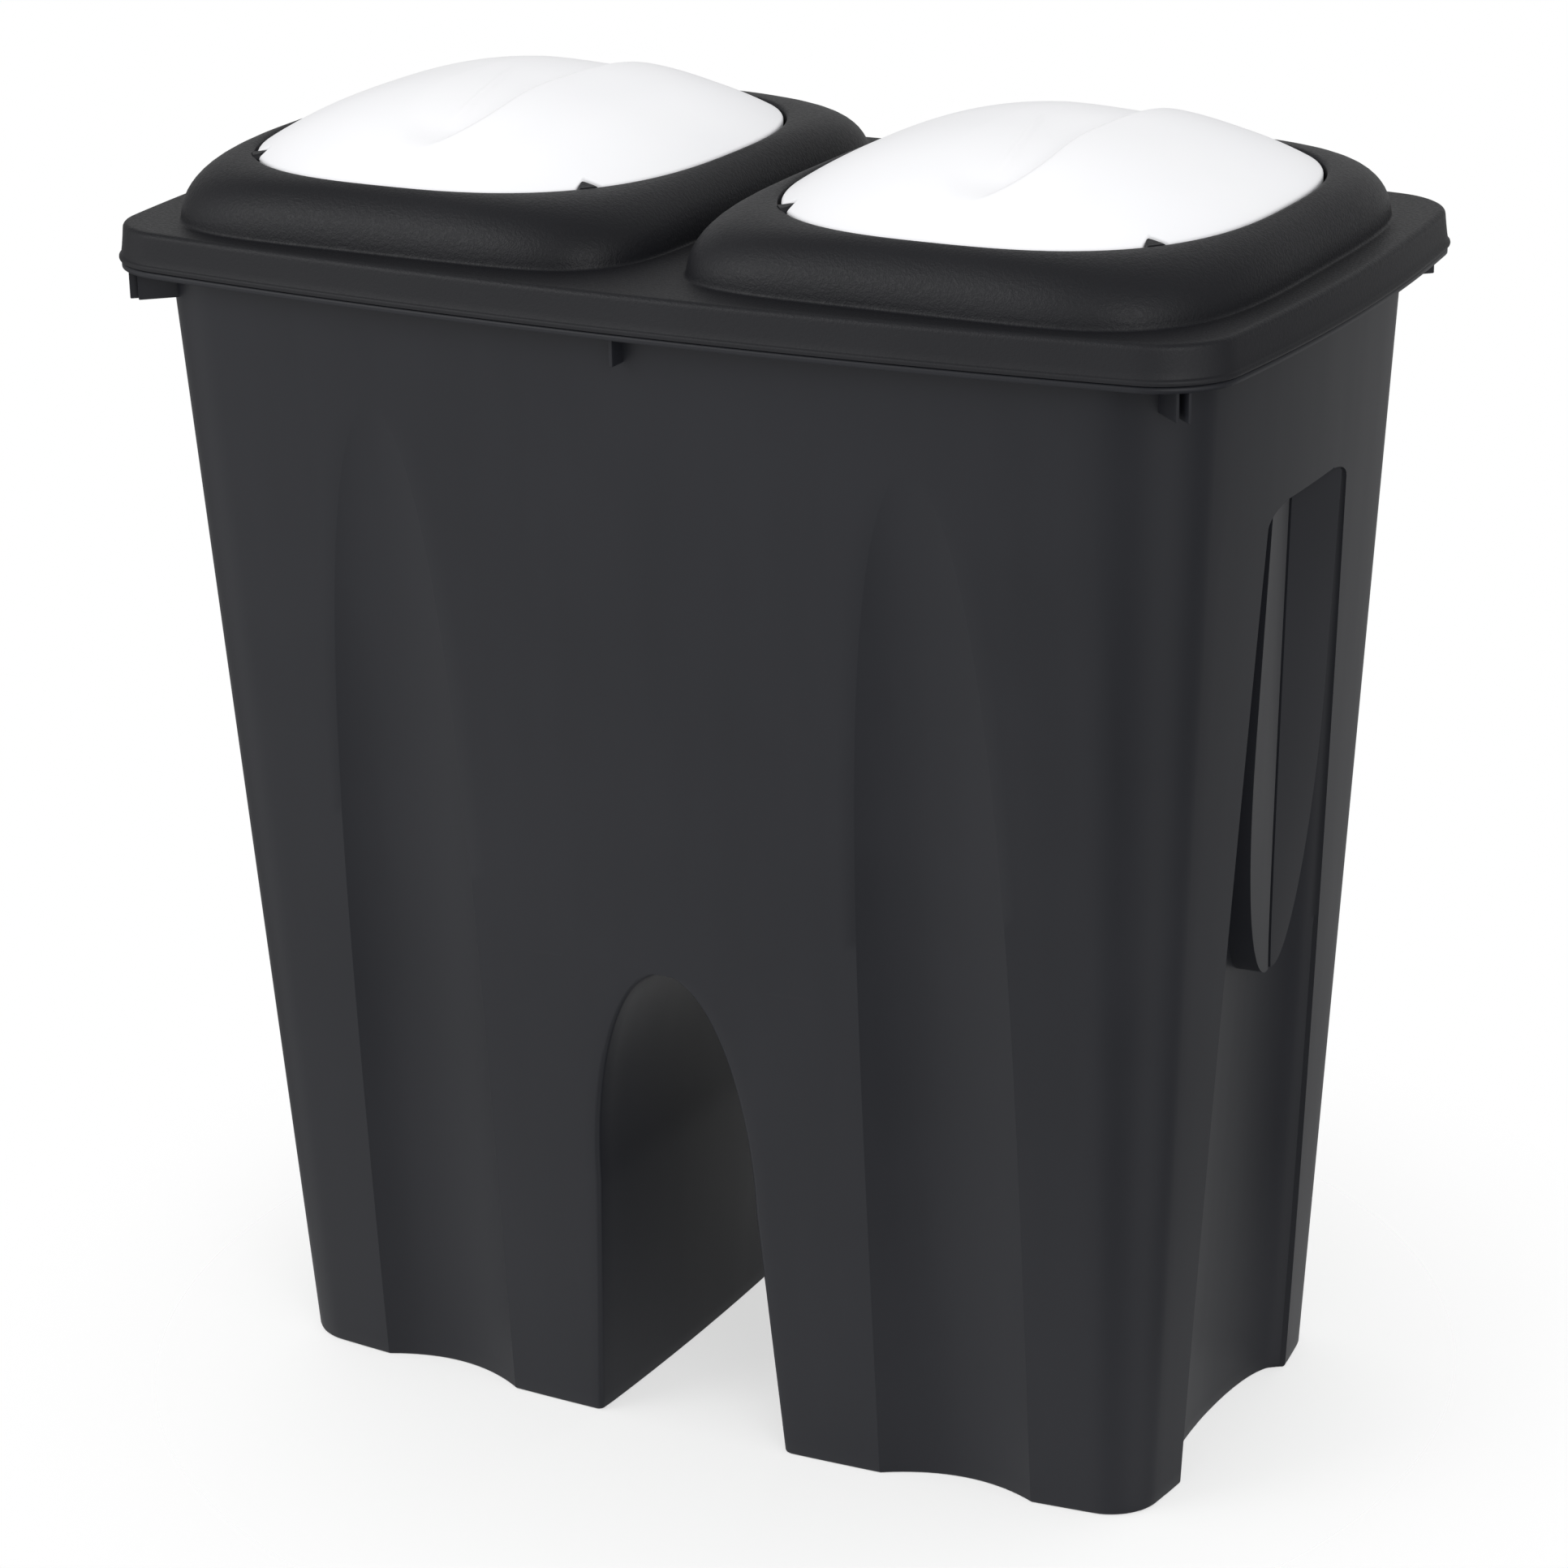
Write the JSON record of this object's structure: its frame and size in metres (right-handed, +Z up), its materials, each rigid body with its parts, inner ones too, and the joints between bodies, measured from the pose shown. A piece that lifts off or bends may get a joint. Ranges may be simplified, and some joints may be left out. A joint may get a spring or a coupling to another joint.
{
  "type": "double recycling bin",
  "caption": "Free-standing two-compartment recycling bin: one dark tub on arched legs, a lift-off lid with domed mouths, and flip flaps hinged in them.",
  "frame": {"origin": "on the floor under the middle of the bin", "axes": "+Z up, +Y towards the rear, where the flaps lift, +X along the long side towards the right-hand compartment"},
  "size_m": [0.53, 0.316, 0.584],
  "materials": {
    "tub_plastic": "satin moulded, charcoal",
    "lid_plastic": "matte with a fine moulded grain, charcoal",
    "flap_plastic": "satin gloss, white"
  },
  "bodies": {
    "tub": {"two_leg_tub": "tub_plastic"},
    "lid": {"two_dome_lid": "lid_plastic"},
    "left_flap_body": {"left_flap": "flap_plastic"},
    "right_flap_body": {"right_flap": "flap_plastic"}
  },
  "joints": [
    {"name": "lid_lift", "type": "slide", "parent": "tub", "child": "lid", "axis": [0, 0, 1], "range_m": [0, 0.1]},
    {"name": "left_flap_hinge", "type": "hinge", "parent": "lid", "child": "left_flap_body", "pos_m": [-0.1277, -0.0864, 0.5543], "axis": [1, 0, 0], "range_deg": [0, 80]},
    {"name": "right_flap_hinge", "type": "hinge", "parent": "lid", "child": "right_flap_body", "pos_m": [0.1277, -0.0864, 0.5543], "axis": [1, 0, 0], "range_deg": [0, 80]}
  ]
}
